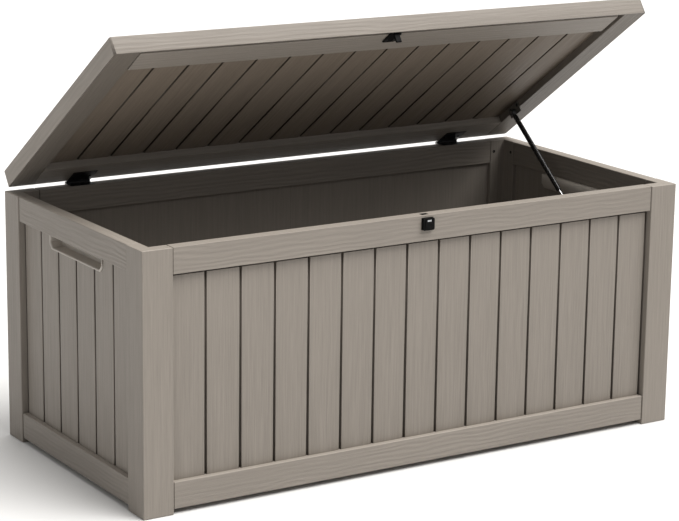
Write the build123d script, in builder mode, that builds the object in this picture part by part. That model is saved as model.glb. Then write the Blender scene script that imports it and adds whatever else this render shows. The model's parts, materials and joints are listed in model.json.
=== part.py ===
"""Storage bench: a plank-sided resin box with a hinged, strut-held lid, stored with the lid part open.

Units are millimetres. +X runs along the bench, +Y from front to back and +Z up. The origin is on the
ground, at the middle of the whole object's footprint with the lid as stored.
"""

import os
from math import cos, radians, sin

from build123d import *

# ---------------------------------------------------------------- driving dimensions
LENGTH = 1250.0  # over the corner posts
DEPTH = 600.0
HEIGHT = 515.0  # ground to the rim of the box
OPEN_ANGLE = 35.0  # how far the lid is open as stored

# corner posts
POST_WIDTH = 64.0
RIM_WIDTH = 28.0  # thickness of a wall at its rails, and of a post's two legs
POST_WALL = 3.5
POST_EDGE = 5.0

# rails
RAIL_SETBACK = 1.5
RAIL_WALL = 3.0
RAIL_END_GAP = 1.2
RAIL_EDGE = 2.0
TOP_RAIL_BOTTOM = 464.0
BOTTOM_RAIL_BOTTOM = 10.0
BOTTOM_RAIL_TOP = 63.0
TENON_LENGTH = 18.0
TENON_SHOULDER = 9.0
TENON_NEAR = 7.0  # tenon's outer face, in from the wall's outer face
TENON_FAR = 23.0

# plank panels
PLANK_SETBACK = 13.0
PLANK_THICKNESS = 6.0
TONGUE = 8.0  # how far a panel reaches into rails and posts
GROOVE_WIDTH = 3.0
GROOVE_DEPTH = 2.5
SEAM = 0.4
LONG_WALL_PLANKS = 15
LEFT_PLANKS = 7  # planks of the long walls' left panel, seen from outside; the right panel has the rest
SIDE_PLANKS = 6
FIT = 0.3  # clearance of a tongue, tenon or insert in its pocket

# finger grips
GRIP_WIDTH = 222.0
GRIP_HEIGHT = 23.5
GRIP_DEPTH = 21.0
GRIP_WALL = 3.0
GRIP_CORNER = 9.0

# floor
FLOOR_TOP = 40.0
FLOOR_PLATE = 4.0
FLOOR_WALL = 3.0
FLOOR_RIB_HEIGHT = 20.0
FLOOR_CROSS_RIBS = 7
FLOOR_LONG_RIB_PITCH = 120.0
FOOT_PITCH = 150.0
FOOT_GAPS = 3  # gaps between feet under each half of the floor
FOOT_GAP = 22.0
FLOOR_CLEARANCE = 0.4
FLOOR_TAB_WIDTH = 24.0
FLOOR_TAB_THICKNESS = 3.0
FLOOR_TAB_LEVEL = 30.0
FLOOR_TAB_SPACING = 240.0
FLOOR_TAB_REACH = 5.0

# lid
LID_INSET = 6.0
LID_GAP = 1.0  # closed lid above the rim
LID_THICKNESS = 36.0
LID_WALL = 3.0
LID_TOP = 4.0
LID_SIDE_RAIL = 55.0
LID_FRONT_RAIL = 82.0
LID_BACK_RAIL = 70.0
LID_FRONT_STEP = 3.0  # the front rail lies this much deeper than the lid's edge
LID_RECESS = 15.0
LID_PANEL = 4.0
LID_TONGUE = 5.0
LID_GROOVE = 2.0
LID_EDGE = 3.0
STIFFENER = 10.0
STIFFENER_WALL = 1.0
STIFFENER_REACH = 6.0  # how far a tube's end enters a side rail
STIFFENER_SPACING = 220.0

# hinges
HINGE_OFFSET = 5.0  # hinge axis behind the box
HINGE_RISE = 0.5
HINGE_X = 460.0
LEAF_WIDTH = 54.0
LEAF_THICKNESS = 1.6
BOX_LEAF_DEPTH = 25.0
LID_LEAF_DEPTH = 46.0
BARREL_RADIUS = 4.0
PIN_RADIUS = 2.0
PIN_CLEARANCE = 0.05
KNUCKLES = 5
KNUCKLE_GAP = 0.3
LEAF_RELIEF = 0.5

# latch
CATCH_PROUD = 7.0
CATCH_WIDTH = 26.0
CATCH_HEIGHT = 28.0
CATCH_BACK = 21.0
HOOK_WIDTH = 12.0
HOOK_THICKNESS = 4.0
HOOK_LENGTH = 18.0
HOOK_PLATE = 2.5
HOOK_PLATE_WIDTH = 34.0
HOOK_PLATE_DEPTH = 40.0
HOOK_INSET = 14.0  # hook's front face, in from the box's front face
HOOK_SIDE_PLAY = 0.6

# strut
STRUT_X = 556.0
STRUT_LID_Y = -143.0  # pivot on the lid, in the lid's frame
STRUT_LID_Z = -3.5
STRUT_LENGTH = 330.0  # pivot to pivot, with the lid as stored
STRUT_SLOPE = 39.0
TUBE_RADIUS = 5.5
TUBE_BORE = 4.5
TUBE_LENGTH = 216.0
TUBE_START = 13.0
TUBE_END_WALL = 6.0
ROD_RADIUS = 2.5
ROD_INSERTION = 118.0
PISTON_LENGTH = 6.0
GUIDE_LENGTH = 8.0
SOCKET_RADIUS = 6.5
SOCKET_THICKNESS = 9.0
SOCKET_STEM_RADIUS = 3.8
STUD_RADIUS = 3.0
OPEN_PIVOT_GAP = 0.4

# fasteners
SCREW_RADIUS = 2.0
SCREW_HEAD_RADIUS = 3.6
SCREW_HEAD_HEIGHT = 1.5
SCREW_LENGTH = 14.0
SHORT_SCREW_LENGTH = 7.5
SCREW_PLAY = 0.05

# ---------------------------------------------------------------- derived places
os.makedirs("parts", exist_ok=True)

lean = radians(OPEN_ANGLE)
lid_mouth = LID_GAP - HINGE_RISE  # lid's lower edge above the hinge axis
lid_back = -(HINGE_OFFSET + LID_INSET)  # lid's back edge, in the lid's frame
lid_front = -(DEPTH + HINGE_OFFSET - LID_INSET)
lid_half = LENGTH / 2 - LID_INSET
lid_tail = HINGE_OFFSET + LID_EDGE + (lid_back - LID_EDGE) * cos(lean)
lid_tail += (lid_mouth + LID_THICKNESS - LID_EDGE) * sin(lean)

front_y = -(CATCH_PROUD + DEPTH + lid_tail) / 2 + CATCH_PROUD
back_y = front_y + DEPTH
middle_y = (front_y + back_y) / 2
hinge_y = back_y + HINGE_OFFSET
hinge_z = HEIGHT + HINGE_RISE

# each wall's plane: origin at the middle of its outer face on the ground, X along the wall, Y up,
# Z outward
WALLS = {
    "front": Plane(origin=(0, front_y, 0), x_dir=(1, 0, 0), z_dir=(0, -1, 0)),
    "back": Plane(origin=(0, back_y, 0), x_dir=(-1, 0, 0), z_dir=(0, 1, 0)),
    "left": Plane(origin=(-LENGTH / 2, middle_y, 0), x_dir=(0, -1, 0), z_dir=(-1, 0, 0)),
    "right": Plane(origin=(LENGTH / 2, middle_y, 0), x_dir=(0, 1, 0), z_dir=(1, 0, 0)),
}
SPANS = {"front": LENGTH, "back": LENGTH, "left": DEPTH, "right": DEPTH}

# the lid's frame lies on the hinge axis; its XY plane is the closed lid's horizontal
lid_plane = Plane(origin=(0, hinge_y, hinge_z), x_dir=(1, 0, 0), z_dir=(0, sin(lean), cos(lean)))


def lid_side_plane(x):
    """A plane across the lid at x: its X runs to the back along the lid, its Y up through it."""
    origin = Vector(x, hinge_y, hinge_z)
    return Plane(origin=origin, x_dir=lid_plane.y_dir, z_dir=(1, 0, 0))


def finish(builder, label):
    """Label a finished piece and write it."""
    builder.part.label = label
    export_step(builder.part, f"parts/{label}.step")


def block(plane, x_range, y_range, depth_range, mode=Mode.ADD):
    """A box on a plane: x and y ranges on it, and a range of heights along its normal."""
    with BuildSketch(plane.offset(depth_range[0])) as outline:
        with Locations(((x_range[0] + x_range[1]) / 2, (y_range[0] + y_range[1]) / 2)):
            Rectangle(x_range[1] - x_range[0], y_range[1] - y_range[0])
    extrude(outline.sketch, amount=depth_range[1] - depth_range[0], mode=mode)


def rod_between(plane, centres, radius, depth_range, mode=Mode.ADD):
    """Round bars or holes of one radius on a plane, from one height along its normal to another."""
    with BuildSketch(plane.offset(depth_range[0])) as outline:
        with Locations(*centres):
            Circle(radius)
    extrude(outline.sketch, amount=depth_range[1] - depth_range[0], mode=mode)


def screws(label, places, length=SCREW_LENGTH):
    """A group of equal countersunk screws. Each place is a plane on the head's top, facing out."""
    with BuildPart() as group:
        for place in places:
            with BuildSketch(place):
                Circle(SCREW_HEAD_RADIUS)
            with BuildSketch(place.offset(-SCREW_HEAD_HEIGHT)):
                Circle(SCREW_RADIUS)
            loft()
            with BuildSketch(place.offset(-SCREW_HEAD_HEIGHT)):
                Circle(SCREW_RADIUS)
            extrude(amount=-(length - SCREW_HEAD_HEIGHT))
            with BuildSketch(place.offset(-SCREW_HEAD_HEIGHT / 2)):
                Rectangle(SCREW_HEAD_RADIUS, SCREW_HEAD_HEIGHT / 3)
                Rectangle(SCREW_HEAD_HEIGHT / 3, SCREW_HEAD_RADIUS)
            extrude(amount=SCREW_HEAD_HEIGHT, mode=Mode.SUBTRACT)
    finish(group, label)


def screw_holes(places, length=SCREW_LENGTH):
    """Cut the countersunk holes for screws of this length at these places, with a little play."""
    for place in places:
        with BuildSketch(place) as rim:
            Circle(SCREW_HEAD_RADIUS + SCREW_PLAY)
        with BuildSketch(place.offset(-SCREW_HEAD_HEIGHT)) as throat:
            Circle(SCREW_RADIUS + SCREW_PLAY)
        loft([rim.sketch, throat.sketch], mode=Mode.SUBTRACT)
        depth = length - SCREW_HEAD_HEIGHT + SCREW_PLAY
        extrude(throat.sketch, amount=-depth, mode=Mode.SUBTRACT)


def turned(plane, x, y, height):
    """The plane moved to (x, y, height) in its own frame."""
    return Plane(origin=plane.from_local_coords(Vector(x, y, height)), x_dir=plane.x_dir, z_dir=plane.z_dir)


def facing_in(wall_name, along, up, inward):
    """A plane on a wall's inner side, facing into the box, inward of the wall's outer face."""
    wall = WALLS[wall_name]
    origin = wall.from_local_coords(Vector(along, up, -inward))
    return Plane(origin=origin, x_dir=wall.x_dir, z_dir=-wall.z_dir)


RAIL_LEVELS = ((BOTTOM_RAIL_BOTTOM, BOTTOM_RAIL_TOP), (TOP_RAIL_BOTTOM, HEIGHT))


def tenon_screw(wall_name, end, low, high):
    """Where a screw holds the tenon of a rail in its post, at one end of the wall."""
    along = end * (SPANS[wall_name] / 2 - POST_WIDTH + TENON_LENGTH / 2)
    return facing_in(wall_name, along, (low + high) / 2, RIM_WIDTH)


post_screw_places = [
    tenon_screw(wall_name, end, low, high)
    for wall_name in WALLS
    for low, high in RAIL_LEVELS
    for end in (-1, 1)
]


# ---------------------------------------------------------------- corner posts
PANEL_SLOT = (-PLANK_SETBACK - PLANK_THICKNESS - FIT, -PLANK_SETBACK + FIT)


def leg_outline(side_x, side_y, margin):
    """The post's L outline, shrunk by a margin, from its outer corner."""
    corner_x = side_x * LENGTH / 2
    corner_y = front_y if side_y < 0 else back_y
    far, near = POST_WIDTH - margin, RIM_WIDTH - margin
    steps = [(margin, margin), (far, margin), (far, near), (near, near), (near, far), (margin, far)]
    return [(corner_x - side_x * a, corner_y - side_y * b) for a, b in steps]


def corner_post(label, side_x, side_y):
    """A hollow L-section post, closed at the top, open at the foot, mortised for rails and panels."""
    wall_names = ("front" if side_y < 0 else "back", "left" if side_x < 0 else "right")
    with BuildPart() as post:
        with BuildSketch(Plane.XY):
            with BuildLine():
                Polyline(*leg_outline(side_x, side_y, 0), close=True)
            make_face()
        extrude(amount=HEIGHT)
        corner = Vector(side_x * LENGTH / 2, front_y if side_y < 0 else back_y, HEIGHT / 2)
        outer_edge = post.edges().filter_by(Axis.Z).sort_by_distance(corner)[0]
        fillet(outer_edge, radius=POST_EDGE)
        chamfer(post.faces().sort_by(Axis.Z)[-1].edges(), length=1.0)
        with BuildSketch(Plane.XY):
            with BuildLine():
                Polyline(*leg_outline(side_x, side_y, POST_WALL), close=True)
            make_face()
        extrude(amount=HEIGHT - POST_WALL, mode=Mode.SUBTRACT)
        for wall_name in wall_names:
            wall = WALLS[wall_name]
            end = 1 if wall.x_dir.dot(Vector(side_x, side_y, 0)) > 0 else -1
            post_edge = SPANS[wall_name] / 2 - POST_WIDTH
            mouth = sorted((end * (post_edge - 1), end * (post_edge + TENON_LENGTH + 1)))
            for low, high in RAIL_LEVELS:
                mortise = (low + TENON_SHOULDER - FIT, high - TENON_SHOULDER + FIT)
                block(wall, mouth, mortise, (-TENON_FAR - FIT, -TENON_NEAR + FIT), mode=Mode.SUBTRACT)
                screw_holes([tenon_screw(wall_name, end, low, high)])
            slot = (BOTTOM_RAIL_TOP - TONGUE, TOP_RAIL_BOTTOM + TONGUE)
            block(wall, mouth, slot, PANEL_SLOT, mode=Mode.SUBTRACT)
    finish(post, label)


for side_y, row in ((-1, "front"), (1, "back")):
    for side_x, column in ((-1, "left"), (1, "right")):
        corner_post(f"{row}_{column}_post", side_x, side_y)

# ---------------------------------------------------------------- latch, strut and hinge places
catch_top = HEIGHT - 0.5
catch_screw_places = [
    facing_in("front", along, catch_top - CATCH_HEIGHT + 5.0, RIM_WIDTH) for along in (-7.0, 7.0)
]

strut_pivot = Vector(
    STRUT_X,
    hinge_y + STRUT_LID_Y * cos(lean) + STRUT_LID_Z * sin(lean),
    hinge_z - STRUT_LID_Y * sin(lean) + STRUT_LID_Z * cos(lean),
)
strut_direction = Vector(0, -cos(radians(STRUT_SLOPE)), -sin(radians(STRUT_SLOPE)))
strut_foot = strut_pivot + strut_direction * STRUT_LENGTH
foot_along = strut_foot.Y - middle_y
strut_box_screw_places = [
    facing_in("right", foot_along + step, strut_foot.Z, PLANK_SETBACK + PLANK_THICKNESS + 2.5)
    for step in (-14.0, 14.0)
]

leaf_screw_spread = (-19.0, 0.0, 19.0)
box_leaf_screw_places = [
    Plane(origin=(side * HINGE_X + step, back_y - (9.0 if step else 18.0), HEIGHT), z_dir=(0, 0, 1))
    for side in (-1, 1)
    for step in leaf_screw_spread
]
lid_leaf_screw_places = [
    Plane(
        origin=lid_plane.from_local_coords(
            Vector(side * HINGE_X + step, lid_back - (14.0 if step else 30.0), lid_mouth)
        ),
        z_dir=-lid_plane.z_dir,
    )
    for side in (-1, 1)
    for step in leaf_screw_spread
]

# ---------------------------------------------------------------- wall rails
def wall_rail(label, wall_name, low, high, is_top):
    """A hollow rail with a tenon at each end and a slot that takes the plank panels' edge."""
    wall = WALLS[wall_name]
    half = SPANS[wall_name] / 2 - POST_WIDTH - RAIL_END_GAP
    with BuildPart() as rail:
        block(wall, (-half, half), (low, high), (-RIM_WIDTH, -RAIL_SETBACK))
        outward = Axis(wall.origin, wall.z_dir)
        along = Axis(wall.origin, wall.x_dir)
        outer_face = rail.faces().sort_by(outward)[-1]
        fillet(outer_face.edges().filter_by(along), radius=RAIL_EDGE)
        block(
            wall,
            (-half + RAIL_WALL, half - RAIL_WALL),
            (low + RAIL_WALL, high - RAIL_WALL),
            (-RIM_WIDTH + RAIL_WALL, -RAIL_SETBACK - RAIL_WALL),
            mode=Mode.SUBTRACT,
        )
        slot = (low - 1, low + TONGUE) if is_top else (high - TONGUE, high + 1)
        block(wall, (-half - 1, half + 1), slot, PANEL_SLOT, mode=Mode.SUBTRACT)
        for end in (-1, 1):
            tenon = sorted((end * (half - RAIL_WALL), end * (half + RAIL_END_GAP + TENON_LENGTH)))
            levels = (low + TENON_SHOULDER, high - TENON_SHOULDER)
            block(wall, tenon, levels, (-TENON_FAR, -TENON_NEAR))
            screw_holes([tenon_screw(wall_name, end, low, high)])
        if is_top and wall_name == "front":
            catch_pocket(wall)
            screw_holes(catch_screw_places)
        if is_top and wall_name == "back":
            leaf_pockets()
            screw_holes(box_leaf_screw_places)
        if not is_top:
            for along in floor_tab_places(wall_name):
                slot = (along - FLOOR_TAB_WIDTH / 2 - FIT, along + FLOOR_TAB_WIDTH / 2 + FIT)
                levels = (FLOOR_TAB_LEVEL - FIT, FLOOR_TAB_LEVEL + FLOOR_TAB_THICKNESS + FIT)
                block(wall, slot, levels, (-RIM_WIDTH - 1, -RIM_WIDTH + RAIL_WALL), mode=Mode.SUBTRACT)
    finish(rail, label)


def floor_tab_places(wall_name):
    """Where the floor's tabs enter a wall's bottom rail, along the wall."""
    if wall_name in ("left", "right"):
        return (-FLOOR_TAB_SPACING / 2, FLOOR_TAB_SPACING / 2)
    return [FLOOR_TAB_SPACING * count for count in (-1.75, -0.75, 0.75, 1.75)]


def catch_pocket(wall):
    """Cut the notch in the front top rail that takes the catch."""
    half = CATCH_WIDTH / 2 + FIT
    block(
        wall,
        (-half, half),
        (catch_top - CATCH_HEIGHT - FIT, HEIGHT + 1),
        (-CATCH_BACK - FIT, 1),
        mode=Mode.SUBTRACT,
    )


def leaf_pockets():
    """Cut the shallow seats for the hinges' lower leaves in the back top rail."""
    for side in (-1, 1):
        half = LEAF_WIDTH / 2 + FIT
        block(
            Plane.XY,
            (side * HINGE_X - half, side * HINGE_X + half),
            (back_y - BOX_LEAF_DEPTH - FIT, back_y + 1),
            (HEIGHT - LEAF_THICKNESS, HEIGHT + 1),
            mode=Mode.SUBTRACT,
        )


for wall_name in WALLS:
    wall_rail(f"{wall_name}_top_rail", wall_name, TOP_RAIL_BOTTOM, HEIGHT, True)
    wall_rail(f"{wall_name}_bottom_rail", wall_name, BOTTOM_RAIL_BOTTOM, BOTTOM_RAIL_TOP, False)

# ---------------------------------------------------------------- plank panels
grip_top = TOP_RAIL_BOTTOM
grip_bottom = grip_top - GRIP_WALL - GRIP_HEIGHT


def grip_outline(margin):
    """The finger grip's outline with cut lower corners, grown by a margin, on a side wall's plane."""
    half = GRIP_WIDTH / 2 + margin
    low = grip_bottom - margin
    high = grip_top - GRIP_WALL + margin
    cut = GRIP_CORNER
    left_side = [(-half, high), (-half, low + cut), (-half + cut, low)]
    return left_side + [(-along, up) for along, up in reversed(left_side)]


def plank_panel(label, wall_name, start, stop, grooves, seam_end=0):
    """A grooved sheet of planks between two places along a wall; seam_end is its end at a seam."""
    wall = WALLS[wall_name]
    low = BOTTOM_RAIL_TOP - TONGUE + FIT
    high = TOP_RAIL_BOTTOM + TONGUE - FIT
    face = -PLANK_SETBACK
    left = start + SEAM / 2 if seam_end < 0 else start - TONGUE
    right = stop - SEAM / 2 if seam_end > 0 else stop + TONGUE
    with BuildPart() as panel:
        block(wall, (left, right), (low, high), (face - PLANK_THICKNESS, face))
        with BuildSketch(wall.offset(face - GROOVE_DEPTH)):
            with Locations(*[(groove, (low + high) / 2) for groove in grooves]):
                Rectangle(GROOVE_WIDTH, high - low + 2)
        extrude(amount=GROOVE_DEPTH + 1, mode=Mode.SUBTRACT)
        if wall_name in ("left", "right"):
            with BuildSketch(wall.offset(face - PLANK_THICKNESS)):
                with BuildLine():
                    Polyline(*grip_outline(GRIP_WALL + SEAM / 2), close=True)
                make_face()
            extrude(amount=PLANK_THICKNESS, mode=Mode.SUBTRACT)
        if wall_name == "right":
            screw_holes(strut_box_screw_places, SHORT_SCREW_LENGTH)
    finish(panel, label)


long_half = LENGTH / 2 - POST_WIDTH
long_pitch = 2 * long_half / LONG_WALL_PLANKS
long_grooves = [-long_half + long_pitch * count for count in range(1, LONG_WALL_PLANKS)]
seam_at = long_grooves[LEFT_PLANKS - 1]
for wall_name in ("front", "back"):
    first_grooves = [groove for groove in long_grooves if groove <= seam_at]
    second_grooves = [groove for groove in long_grooves if groove >= seam_at]
    plank_panel(f"{wall_name}_left_plank_panel", wall_name, -long_half, seam_at, first_grooves, 1)
    plank_panel(f"{wall_name}_right_plank_panel", wall_name, seam_at, long_half, second_grooves, -1)

side_half = DEPTH / 2 - POST_WIDTH
side_pitch = 2 * side_half / SIDE_PLANKS
side_grooves = [-side_half + side_pitch * count for count in range(1, SIDE_PLANKS)]
for wall_name in ("left", "right"):
    plank_panel(f"{wall_name}_plank_panel", wall_name, -side_half, side_half, side_grooves)

# ---------------------------------------------------------------- finger grips
def grip_cup(label, wall_name):
    """The recessed cup behind a side wall's finger opening."""
    wall = WALLS[wall_name]
    bottom = -PLANK_SETBACK - GRIP_DEPTH - GRIP_WALL
    with BuildPart() as cup:
        with BuildSketch(wall.offset(bottom)):
            with BuildLine():
                Polyline(*grip_outline(GRIP_WALL), close=True)
            make_face()
        extrude(amount=GRIP_DEPTH + GRIP_WALL)
        with BuildSketch(wall.offset(bottom + GRIP_WALL)):
            with BuildLine():
                Polyline(*grip_outline(0), close=True)
            make_face()
        extrude(amount=GRIP_DEPTH, mode=Mode.SUBTRACT)
    finish(cup, label)


for wall_name in ("left", "right"):
    grip_cup(f"{wall_name}_grip_cup", wall_name)

# ---------------------------------------------------------------- floor
floor_front = front_y + RIM_WIDTH + FLOOR_CLEARANCE
floor_back = back_y - RIM_WIDTH - FLOOR_CLEARANCE
floor_end = LENGTH / 2 - RIM_WIDTH - FLOOR_CLEARANCE
under_plate = FLOOR_TOP - FLOOR_PLATE
rib_levels = (under_plate - FLOOR_RIB_HEIGHT, under_plate)


def floor_panel(label, side):
    """Half of the floor: a plate on ribs, with a skirt that stands on the ground as feet."""
    inner, outer = sorted((side * SEAM / 2, side * floor_end))
    with BuildPart() as panel:
        block(Plane.XY, (inner, outer), (floor_front, floor_back), (0, FLOOR_TOP))
        block(
            Plane.XY,
            (inner + FLOOR_WALL, outer - FLOOR_WALL),
            (floor_front + FLOOR_WALL, floor_back - FLOOR_WALL),
            (-1, under_plate),
            mode=Mode.SUBTRACT,
        )
        for count in range(FOOT_GAPS):
            middle = side * (count + 0.5) * FOOT_PITCH
            gap = (middle - FOOT_GAP / 2, middle + FOOT_GAP / 2)
            across = (floor_front - 1, floor_back + 1)
            block(Plane.XY, gap, across, (-1, under_plate), mode=Mode.SUBTRACT)
        for count in range(1, FLOOR_CROSS_RIBS + 1):
            middle = side * count * FOOT_PITCH / 2
            rib = (middle - FLOOR_WALL / 2, middle + FLOOR_WALL / 2)
            block(Plane.XY, rib, (floor_front, floor_back), rib_levels)
        for step in (-1, 0, 1):
            rib_y = middle_y + step * FLOOR_LONG_RIB_PITCH
            rib = (rib_y - FLOOR_WALL / 2, rib_y + FLOOR_WALL / 2)
            block(Plane.XY, (inner, outer), rib, rib_levels)
        end_wall = "left" if side < 0 else "right"
        for wall_name in ("front", "back", end_wall):
            for along in floor_tab_places(wall_name):
                wall = WALLS[wall_name]
                if wall_name != end_wall and along * wall.x_dir.X * side < 0:
                    continue
                tab = (along - FLOOR_TAB_WIDTH / 2, along + FLOOR_TAB_WIDTH / 2)
                levels = (FLOOR_TAB_LEVEL, FLOOR_TAB_LEVEL + FLOOR_TAB_THICKNESS)
                reach = (-RIM_WIDTH - FLOOR_CLEARANCE - FLOOR_WALL, -RIM_WIDTH + FLOOR_TAB_REACH)
                block(wall, tab, levels, reach)
    finish(panel, label)


floor_panel("floor_left_panel", -1)
floor_panel("floor_right_panel", 1)

# ---------------------------------------------------------------- lid shell and rails
lid_under_top = lid_mouth + LID_THICKNESS - LID_TOP
recess_x = lid_half - LID_SIDE_RAIL
recess_front = lid_front + LID_FRONT_RAIL
recess_back = lid_back - LID_BACK_RAIL
panel_low = lid_mouth + LID_RECESS
panel_high = panel_low + LID_PANEL
stiffener_rows = [(recess_front + recess_back + side * STIFFENER_SPACING) / 2 for side in (-1, 1)]
stiffener_levels = (panel_high, panel_high + STIFFENER)
stiffener_span = (-recess_x - STIFFENER_REACH, recess_x + STIFFENER_REACH)
lid_pitch = 2 * recess_x / LONG_WALL_PLANKS
lid_grooves = [-recess_x + lid_pitch * count for count in range(1, LONG_WALL_PLANKS)]


def lid_piece_leaf_pockets():
    """Cut the seats for the hinges' upper leaves in the lid's lower back edge."""
    for side in (-1, 1):
        half = LEAF_WIDTH / 2 + FIT
        block(
            lid_plane,
            (side * HINGE_X - half, side * HINGE_X + half),
            (-LID_LEAF_DEPTH - HINGE_OFFSET - FIT, lid_back + 1),
            (lid_mouth - 1, lid_mouth + LEAF_THICKNESS),
            mode=Mode.SUBTRACT,
        )


with BuildPart() as lid_shell:
    lid_x = (-lid_half, lid_half)
    block(lid_plane, lid_x, (lid_front, lid_back), (lid_mouth, lid_mouth + LID_THICKNESS))
    upward = Axis(lid_plane.origin, lid_plane.z_dir)
    fillet(lid_shell.edges().filter_by(upward), radius=POST_EDGE)
    fillet(lid_shell.faces().sort_by(upward)[-1].edges(), radius=LID_EDGE)
    block(
        lid_plane,
        (-lid_half + LID_WALL, lid_half - LID_WALL),
        (lid_front + LID_WALL, lid_back - LID_WALL),
        (lid_mouth - 1, lid_under_top),
        mode=Mode.SUBTRACT,
    )
    with BuildSketch(lid_plane.offset(lid_mouth + LID_THICKNESS - LID_GROOVE)):
        with Locations(*[(groove, (recess_front + recess_back) / 2) for groove in lid_grooves]):
            Rectangle(GROOVE_WIDTH, recess_back - recess_front)
    extrude(amount=LID_GROOVE + 1, mode=Mode.SUBTRACT)
    lid_piece_leaf_pockets()
finish(lid_shell, "lid_top_shell")


def lid_rail(label, x_range, y_range, bottom, pockets=False):
    """A channel rail inside the lid, open upward, slotted where the inner panel enters it."""
    with BuildPart() as rail:
        block(lid_plane, x_range, y_range, (bottom, lid_under_top))
        block(
            lid_plane,
            (x_range[0] + LID_WALL, x_range[1] - LID_WALL),
            (y_range[0] + LID_WALL, y_range[1] - LID_WALL),
            (bottom + LID_WALL, lid_under_top + 1),
            mode=Mode.SUBTRACT,
        )
        block(
            lid_plane,
            (-recess_x - LID_TONGUE - FIT, recess_x + LID_TONGUE + FIT),
            (recess_front - LID_TONGUE - FIT, recess_back + LID_TONGUE + FIT),
            (panel_low - FIT / 2, panel_high + FIT / 2),
            mode=Mode.SUBTRACT,
        )
        if pockets:
            lid_piece_leaf_pockets()
            screw_holes(lid_leaf_screw_places)
        if label in ("lid_left_rail", "lid_right_rail"):
            half = STIFFENER / 2 + FIT / 2
            hole_levels = (stiffener_levels[0], stiffener_levels[1] + FIT / 2)
            reach = (stiffener_span[0] - 1, stiffener_span[1] + 1)
            for centre in stiffener_rows:
                block(lid_plane, reach, (centre - half, centre + half), hole_levels, mode=Mode.SUBTRACT)
        if label == "lid_front_rail":
            screw_holes(hook_plate_screw_places)
        if label == "lid_right_rail":
            screw_holes(strut_lid_screw_places)
    finish(rail, label)


inner_front = lid_front + LID_WALL + SEAM / 2
inner_back = lid_back - LID_WALL - SEAM / 2
inner_side = lid_half - LID_WALL - SEAM / 2
front_rail_bottom = lid_mouth + LID_FRONT_STEP
hook_plate_bottom = front_rail_bottom - HOOK_PLATE
hook_local_front = -(DEPTH + HINGE_OFFSET - HOOK_INSET)
under_lid = Plane(origin=lid_plane.origin, x_dir=lid_plane.x_dir, z_dir=-lid_plane.z_dir)
hook_plate_screw_places = [
    turned(under_lid, x, -(hook_local_front + 28.0), -hook_plate_bottom) for x in (-9.0, 9.0)
]
bracket_face = recess_x - 2.0
strut_lid_screw_places = [
    Plane(
        origin=lid_plane.from_local_coords(Vector(bracket_face, STRUT_LID_Y + step, 7.0)),
        x_dir=lid_plane.y_dir,
        z_dir=(-1, 0, 0),
    )
    for step in (-14.0, 14.0)
]

lid_rail("lid_left_rail", (-inner_side, -recess_x), (inner_front, inner_back), lid_mouth)
lid_rail("lid_right_rail", (recess_x, inner_side), (inner_front, inner_back), lid_mouth)
rail_span = (-recess_x + SEAM / 2, recess_x - SEAM / 2)
lid_rail("lid_front_rail", rail_span, (inner_front, recess_front), front_rail_bottom)
lid_rail("lid_back_rail", rail_span, (recess_back, inner_back), lid_mouth, pockets=True)

with BuildPart() as inner_panel:
    block(
        lid_plane,
        (-recess_x - LID_TONGUE, recess_x + LID_TONGUE),
        (recess_front - LID_TONGUE, recess_back + LID_TONGUE),
        (panel_low, panel_high),
    )
    with BuildSketch(lid_plane.offset(panel_low - 1)):
        with Locations(*[(groove, (recess_front + recess_back) / 2) for groove in lid_grooves]):
            Rectangle(GROOVE_WIDTH, recess_back - recess_front + 2 * LID_TONGUE + 2)
    extrude(amount=LID_GROOVE + 1, mode=Mode.SUBTRACT)
finish(inner_panel, "lid_inner_panel")

with BuildPart() as stiffeners:
    for centre in stiffener_rows:
        block(lid_plane, stiffener_span, (centre - STIFFENER / 2, centre + STIFFENER / 2), stiffener_levels)
    bore = STIFFENER / 2 - STIFFENER_WALL
    bore_levels = (stiffener_levels[0] + STIFFENER_WALL, stiffener_levels[1] - STIFFENER_WALL)
    for centre in stiffener_rows:
        bore_rows = (centre - bore, centre + bore)
        block(lid_plane, (-lid_half, lid_half), bore_rows, bore_levels, mode=Mode.SUBTRACT)
finish(stiffeners, "lid_stiffener_tubes")

# ---------------------------------------------------------------- hinges
knuckle = (LEAF_WIDTH - KNUCKLE_GAP * (KNUCKLES - 1)) / KNUCKLES


def knuckle_ranges(hinge_x, first):
    """The x ranges of every second knuckle, from the given one."""
    pitch = knuckle + KNUCKLE_GAP
    start = hinge_x - LEAF_WIDTH / 2
    return [(start + pitch * count, start + pitch * count + knuckle) for count in range(first, KNUCKLES, 2)]


def hinge_leaf(label, plane, hinge_x, leaf_range, leaf_heights, first, places):
    """A leaf with its knuckles. The plane's origin is on the hinge axis; the leaf lies along its Y."""
    side_plane = Plane(origin=plane.origin, x_dir=plane.y_dir, z_dir=plane.x_dir)
    with BuildPart() as leaf:
        half = LEAF_WIDTH / 2
        block(plane, (hinge_x - half, hinge_x + half), leaf_range, leaf_heights)
        for low, high in knuckle_ranges(hinge_x, first):
            block(plane, (low, high), (leaf_range[1], 0), leaf_heights)
            rod_between(side_plane, [(0, 0)], BARREL_RADIUS, (low, high))
        across = (hinge_x - half - 1, hinge_x + half + 1)
        rod_between(side_plane, [(0, 0)], PIN_RADIUS + PIN_CLEARANCE, across, mode=Mode.SUBTRACT)
        screw_holes(places)
    finish(leaf, label)


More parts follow.
